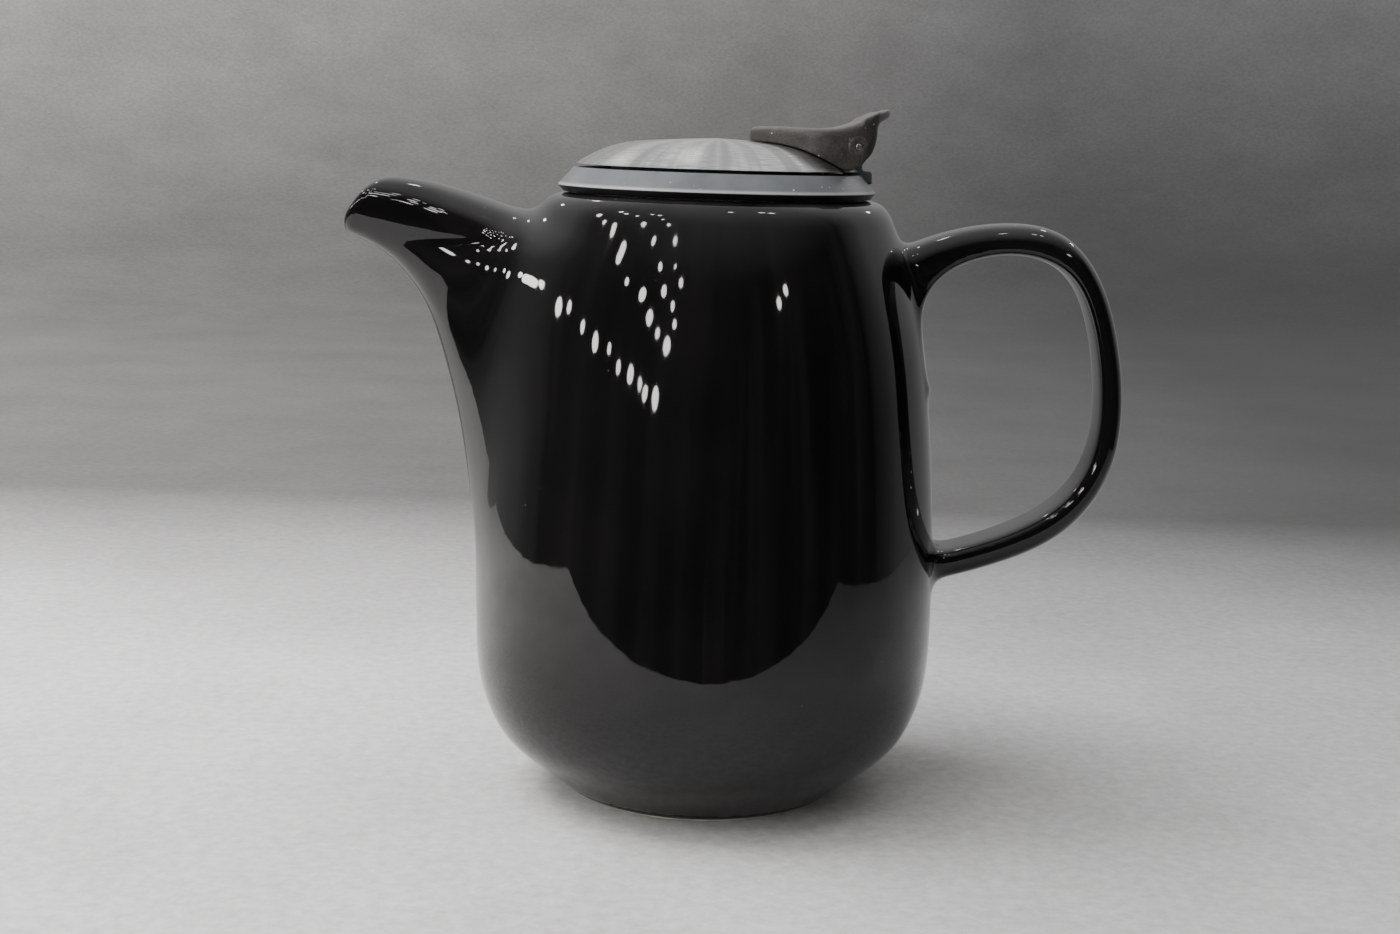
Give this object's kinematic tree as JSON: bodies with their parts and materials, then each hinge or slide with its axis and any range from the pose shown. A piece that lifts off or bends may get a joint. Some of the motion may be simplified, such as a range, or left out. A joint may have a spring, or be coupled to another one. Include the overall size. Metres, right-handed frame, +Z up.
{
  "type": "teapot",
  "caption": "Tall glazed ceramic teapot with beak spout, strap loop handle, lift-out infuser and a ring lid with a hinged steel dome and thumb lever.",
  "frame": {"origin": "centre of the foot ring's resting plane, on the axis of the round body", "axes": "+Z up along the body's axis, +X from the spout towards the handle, +Y to the back when the spout is on the left"},
  "size_m": [0.2115, 0.125, 0.1865],
  "materials": {
    "glaze": "gloss",
    "lid_plastic": "satin",
    "lever_plastic": "grained",
    "silicone": "matte",
    "steel_dome": "brushed",
    "steel": "satin"
  },
  "bodies": {
    "pot": {"pot_body": "glaze", "spout": "glaze", "handle": "glaze"},
    "infuser": {"infuser_collar": "steel", "infuser_mesh": "steel", "infuser_base": "steel"},
    "lid": {"lid_ring": "lid_plastic", "lid_gasket": "silicone", "hinge_pin": "steel"},
    "flap": {"dome": "steel_dome", "dome_liner": "lid_plastic", "lever": "lever_plastic", "lever_screws": "steel"}
  },
  "joints": [
    {"name": "infuser_lift", "type": "slide", "parent": "pot", "child": "infuser", "axis": [0, 0, 1], "range_m": [0, 0.11]},
    {"name": "lid_lift", "type": "slide", "parent": "infuser", "child": "lid", "axis": [0, 0, 1], "range_m": [0, 0.05]},
    {"name": "lid_hinge", "type": "hinge", "parent": "lid", "child": "flap", "pos_m": [0.0361, 0, 0.1768], "axis": [0, 1, 0], "range_deg": [0, 90]}
  ]
}
